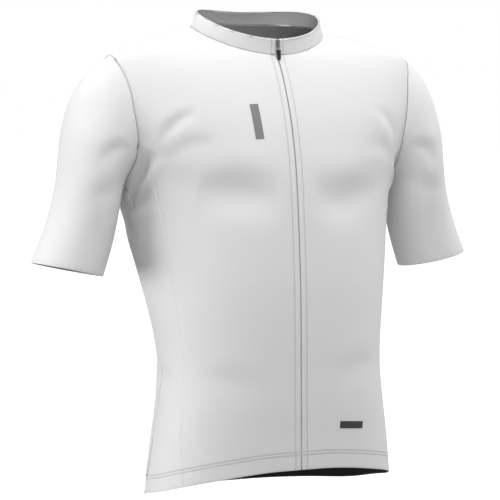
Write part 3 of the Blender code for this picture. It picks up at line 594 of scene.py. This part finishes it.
def elastic_finish():
    material, tree, shader = principled("black_elastic", (0.011, 0.011, 0.012), 0.75)
    grain = add_node(tree, "ShaderNodeSeparateXYZ", Vector=add_node(tree, "ShaderNodeUVMap").outputs[0])
    ribs = calc(tree, "SINE", calc(tree, "MULTIPLY", grain.outputs[1], math.tau / RIB))
    bump = add_node(tree, "ShaderNodeBump", Height=calc(tree, "MULTIPLY", ribs, 0.0002), Distance=1.0)
    tree.links.new(bump.outputs[0], shader.inputs["Normal"])
    return material


gripper = add_piece("hem_elastic", laid("hem_gripper", 5, lambda place: -GRIPPER_DEPTH),
                    elastic_finish(), stands_for=["hem_gripper"])
gripper_wall = gripper.modifiers.new("thickness", "SOLIDIFY")
gripper_wall.thickness = GRIPPER_THICK
baked(gripper)
print("gripper", len(gripper.data.polygons), "faces")

# %% [markdown]
# ## Transfers
# The bar on the chest, the label at the hem and the two tabs at the side are thin printed
# films pressed onto the cloth. Each takes its outline from the construction model and is
# laid on the smooth cloth, point by point.

# %% The transfers
FILM_TOP = 0.00050
FILM_THICK = 0.00035


def film_finish(name, shade):
    material, tree, shader = principled(name, (shade, shade, shade), 0.55)
    place = add_node(tree, "ShaderNodeTexCoord").outputs["Object"]
    specks = add_node(tree, "ShaderNodeTexNoise", Vector=place, Scale=900.0, Detail=2.0)
    bump = add_node(tree, "ShaderNodeBump", Height=specks.outputs[0], Distance=0.00005, Strength=0.6)
    tree.links.new(bump.outputs[0], shader.inputs["Normal"])
    return material


def flat_lift(place):
    """Nothing lies between the film and the cloth."""
    return 0.0


grey_film = film_finish("grey_film", 0.216)
dark_film = film_finish("charcoal_film", 0.045)
for node, film, slot, under in (
        ("chest_bar", grey_film, "grey_transfer", flat_lift),
        ("hem_label", dark_film, "charcoal_transfer", flat_lift),
        ("side_tab_upper", dark_film, "charcoal_transfer", pocket_lift),
        ("side_tab_lower", dark_film, "charcoal_transfer", pocket_lift)):
    patch = laid(node, 2, lambda place, under=under: under(place) + FILM_TOP)
    piece = add_piece(node + "_film", patch, film, stands_for=[node])
    wall = piece.modifiers.new("thickness", "SOLIDIFY")
    wall.thickness = FILM_THICK
    baked(piece)
    print(node, "laid on the cloth with", len(piece.data.polygons), "faces")

# %% [markdown]
# ## Stitches
# Sewn lines run round the hem in pairs, down both sides of the zip and along the pockets. A
# stitch is a small rounded bar of thread, and a row of them follows a path over the cloth.

# %% Sewing
STITCH = 0.0024
STITCH_PITCH = 0.0031
THREAD = 0.00050
THREAD_LIFT = 0.2       # how much of the thread's width its middle stands above the cloth
STITCH_POINTS = 20
LONGEST_STEP = 0.02
ZIP_CLEAR = 0.0025
PATH_STEP = 0.004
PATH_START = 0.001
POCKET_TURNS = (84, 276)
POCKET_STITCH = 0.004


def thread_finish():
    material, tree, shader = principled("white_thread", (0.74, 0.74, 0.74), 0.6)
    place = add_node(tree, "ShaderNodeTexCoord").outputs["Object"]
    twist = add_node(tree, "ShaderNodeTexNoise", Vector=place, Scale=2500.0)
    bump = add_node(tree, "ShaderNodeBump", Height=twist.outputs[0], Distance=0.00008)
    tree.links.new(bump.outputs[0], shader.inputs["Normal"])
    return material


def sew(bm, path):
    """Adds a row of stitches along a path of (place, normal) pairs."""
    walked, due = 0.0, 0.0
    for (before, _), (after, normal) in zip(path, path[1:]):
        step = (after - before).length
        if step > LONGEST_STEP:
            continue
        while walked + step >= due:
            place = before.lerp(after, (due - walked) / step)
            along = (after - before).normalized()
            side = normal.cross(along).normalized()
            turn = Matrix((side * THREAD / 2, normal * THREAD / 2, along * STITCH / 2)).transposed()
            lift = Matrix.Translation(place + normal * THREAD * THREAD_LIFT)
            bmesh.ops.create_uvsphere(bm, u_segments=6, v_segments=4, radius=1,
                                      matrix=lift @ turn.to_4x4())
            due += STITCH_PITCH
        walked += step


def hem_path(rise, first=-180, last=180, out=0.0):
    """A path round the trunk at a height above the hem."""
    path = []
    for degrees in range(first, last + 1, 2):
        turn = math.radians(degrees)
        height = float(np.interp(turn, hem_turns, hem_edges)) + rise
        direction = Vector((math.sin(turn), -math.cos(turn), 0))
        place, normal, _, _ = skin.ray_cast(Vector((0, TRUNK_Y, height)), direction)
        if place is None:
            continue
        normal = normal if normal.dot(direction) > 0 else -normal
        if abs(place.x) > ZIP_CLEAR or place.y > 0:
            path.append((place + normal * out, normal))
    return path


def zip_path(side):
    """A path up the front beside the zip."""
    path = []
    foot = float(np.interp(0.0, hem_turns, hem_edges))
    for step in range(int((ZIP_TOP - foot) / PATH_STEP)):
        start = Vector((side * ZIP_STITCH, -1, foot + PATH_START + PATH_STEP * step))
        place, normal, _, _ = skin.ray_cast(start, Vector((0, 1, 0)))
        if place is not None:
            path.append((place, normal))
    return path


ZIP_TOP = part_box("zip_slider")[1].z
thread = thread_finish()
for name, rows in (
        ("hem_stitches", [hem_path(h) for h in HEM_STITCHES]),
        ("zip_stitches", [zip_path(1), zip_path(-1)]),
        ("pocket_stitches",
         [hem_path(POCKET_LOW + POCKET_STITCH, *POCKET_TURNS, out=POCKET_STAND)])):
    bm = bmesh.new()
    for row in rows:
        sew(bm, row)
    count = len(bm.verts) // STITCH_POINTS
    add_piece(name, bm, thread)
    print(name, "about", count, "stitches")

# %% [markdown]
# ## Zip
# The coil lies behind the folded edges of the fronts and shows between them. Each turn of
# the coil is a small rounded bar across the zip, and left and right turns alternate.

# %% The coil
COIL_PITCH = 0.0012
COIL_DEPTH = 0.0020
COIL_TURN = (0.0017, 0.0007, 0.00050)      # half sizes across, in depth and along
COIL_OFFSET = 0.0004
COIL_END = 0.001        # left free at each end of the coil
COIL_BESIDE = 0.002     # how far beside the middle the cloth is felt for


def coil_finish():
    material, tree, shader = principled("coil_plastic", (0.80, 0.80, 0.80), 0.45)
    place = add_node(tree, "ShaderNodeTexCoord").outputs["Object"]
    grain = add_node(tree, "ShaderNodeTexNoise", Vector=place, Scale=1800.0)
    rough = add_node(tree, "ShaderNodeMapRange", **{"Value": grain.outputs[0], "To Min": 0.32, "To Max": 0.5})
    tree.links.new(rough.outputs[0], shader.inputs["Roughness"])
    return material


coil = bmesh.new()
chain_low, chain_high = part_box("zip_chain")
turns = int((chain_high.z - chain_low.z) / COIL_PITCH)
for index in range(turns):
    height = chain_low.z + COIL_END + COIL_PITCH * index
    if height > chain_high.z - COIL_END:
        break
    place, normal, _, _ = skin.ray_cast(Vector((COIL_BESIDE, -1, height)), Vector((0, 1, 0)))
    if place is None:
        continue
    normal = Vector((0, normal.y, normal.z)).normalized()
    hand = 1 if index % 2 else -1
    middle = Vector((hand * COIL_OFFSET, place.y, place.z)) - normal * COIL_DEPTH
    along = Vector((1, 0, 0)).cross(normal)
    turn = Matrix((Vector((COIL_TURN[0], 0, 0)), normal * COIL_TURN[1], along * COIL_TURN[2]))
    bmesh.ops.create_uvsphere(coil, u_segments=6, v_segments=4, radius=1,
                              matrix=Matrix.Translation(middle) @ turn.transposed().to_4x4())
print("coil turns", turns)
bmesh.ops.recalc_face_normals(coil, faces=coil.faces)
add_piece("zip_coil", coil, coil_finish(), stands_for=["zip_chain"])

# %% [markdown]
# ## Slider, pull and tapes
# The slider and the pull keep the construction model's shapes, because their sizes matter to
# the hinge. They get a cast and brushed finish, a moulded black grip and woven tape.

# %% Finishes of the hard pieces


def metal_finish():
    material, tree, shader = principled("slider_steel", (0.36, 0.36, 0.37), 0.32, 1.0)
    place = add_node(tree, "ShaderNodeTexCoord").outputs["Object"]
    stretched = add_node(tree, "ShaderNodeMapping", Vector=place, Scale=(3000.0, 3000.0, 300.0))
    scratches = add_node(tree, "ShaderNodeTexNoise", Vector=stretched.outputs[0], Scale=1.0)
    rough = add_node(tree, "ShaderNodeMapRange",
                     **{"Value": scratches.outputs[0], "To Min": 0.24, "To Max": 0.44})
    tree.links.new(rough.outputs[0], shader.inputs["Roughness"])
    return material


def moulded_finish():
    material, tree, shader = principled("moulded_grip", (0.014, 0.014, 0.014), 0.42)
    place = add_node(tree, "ShaderNodeTexCoord").outputs["Object"]
    grain = add_node(tree, "ShaderNodeTexNoise", Vector=place, Scale=2200.0)
    bump = add_node(tree, "ShaderNodeBump", Height=grain.outputs[0], Distance=0.00004)
    tree.links.new(bump.outputs[0], shader.inputs["Normal"])
    return material


def tape_finish():
    material, tree, shader = principled("woven_tape", (0.70, 0.70, 0.70), 0.8)
    place = add_node(tree, "ShaderNodeTexCoord").outputs["Object"]
    axes = add_node(tree, "ShaderNodeSeparateXYZ", Vector=place)
    warp = calc(tree, "SINE", calc(tree, "MULTIPLY", axes.outputs[0], math.tau / 0.0008))
    weft = calc(tree, "SINE", calc(tree, "MULTIPLY", axes.outputs[2], math.tau / 0.0008))
    weave = calc(tree, "MULTIPLY", calc(tree, "MULTIPLY", warp, weft), 0.0001)
    bump = add_node(tree, "ShaderNodeBump", Height=weave, Distance=1.0)
    tree.links.new(bump.outputs[0], shader.inputs["Normal"])
    return material


steel, moulded, tape = metal_finish(), moulded_finish(), tape_finish()
for node, finish in (("zip_slider", steel), ("zip_pull_eye", steel), ("zip_pull_grip", moulded),
                     ("zip_tape_left", tape), ("zip_tape_right", tape)):
    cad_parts[node].material_slots[0].material = finish
    print(node, "finished in", finish.name)

# %% [markdown]
# ## Camera, light and floor
# The camera looks at the jersey from its right front and a little from above, with a long
# lens. Soft light comes from above, from both sides and from the front. The lamp on the
# jersey's right is low, so that the arm shades the trunk beside it.

# %% Camera
CAMERA_PLACE = Vector((-1.1551, -2.4405, -0.1330))
CAMERA_LOOK = Vector((0.42166, 0.90426, -0.06723))
CAMERA_LENS = 144.29

camera_data = bpy.data.cameras.new("camera")
camera_data.lens = CAMERA_LENS
camera_data.sensor_width = 36
camera = bpy.data.objects.new("camera", camera_data)
camera.location = CAMERA_PLACE
camera.rotation_euler = CAMERA_LOOK.to_track_quat("-Z", "Y").to_euler()
bpy.context.scene.collection.objects.link(camera)
bpy.context.scene.camera = camera
bpy.context.scene.view_settings.view_transform = "Standard"

# %% Light
Lamp = namedtuple("Lamp", "name place size power")
LAMPS = (
    Lamp("top_softbox", (-0.1, -0.7, 1.7), 1.4, 34.0),
    Lamp("right_softbox", (-2.3, 0.45, -0.25), 1.2, 30.0),
    Lamp("left_softbox", (2.3, 0.2, -0.1), 1.2, 20.0),
    Lamp("front_softbox", (-0.7, -2.6, 0.9), 1.6, 20.0),
)
AIM = Vector((0, 0, -0.3))
for lamp in LAMPS:
    data = bpy.data.lights.new(lamp.name, "AREA")
    data.energy = lamp.power
    data.size = lamp.size
    made = bpy.data.objects.new(lamp.name, data)
    made.location = lamp.place
    made.rotation_euler = (AIM - made.location).to_track_quat("-Z", "Y").to_euler()
    bpy.context.scene.collection.objects.link(made)

world = bpy.data.worlds.new("studio")
world.use_nodes = True
bpy.context.scene.world = world
ROOM_LIGHT = 0.34
tree = world.node_tree
room = tree.nodes["Background"]
room.inputs["Color"].default_value = (1, 1, 1, 1)
room.inputs["Strength"].default_value = ROOM_LIGHT
seen = add_node(tree, "ShaderNodeBackground", Color=(1, 1, 1, 1), Strength=1.0)
rays = add_node(tree, "ShaderNodeLightPath")
blend = add_node(tree, "ShaderNodeMixShader", i0=rays.outputs["Is Camera Ray"],
                 i1=room.outputs[0], i2=seen.outputs[0])
tree.links.new(blend.outputs[0], tree.nodes["World Output"].inputs["Surface"])

# %% Floor
FLOOR_LEVEL = -1.45
FLOOR_SIZE = 80.0
floor_bm = bmesh.new()
bmesh.ops.create_circle(floor_bm, cap_ends=True, segments=96, radius=FLOOR_SIZE,
                        matrix=Matrix.Translation((0, 0, FLOOR_LEVEL)))
floor_mesh = bpy.data.meshes.new("floor")
floor_bm.to_mesh(floor_mesh)
floor_bm.free()
floor = bpy.data.objects.new("floor", floor_mesh)
bpy.context.scene.collection.objects.link(floor)
floor_material, _, floor_shader = principled("pale_floor", (0.93, 0.93, 0.93), 0.9)
floor_shader.inputs["Emission Color"].default_value = (1, 1, 1, 1)
floor_shader.inputs["Emission Strength"].default_value = 1.0
floor_mesh.materials.append(floor_material)
floor.visible_diffuse = False       # it looks white, and doesn't light the jersey from below
floor.visible_glossy = False
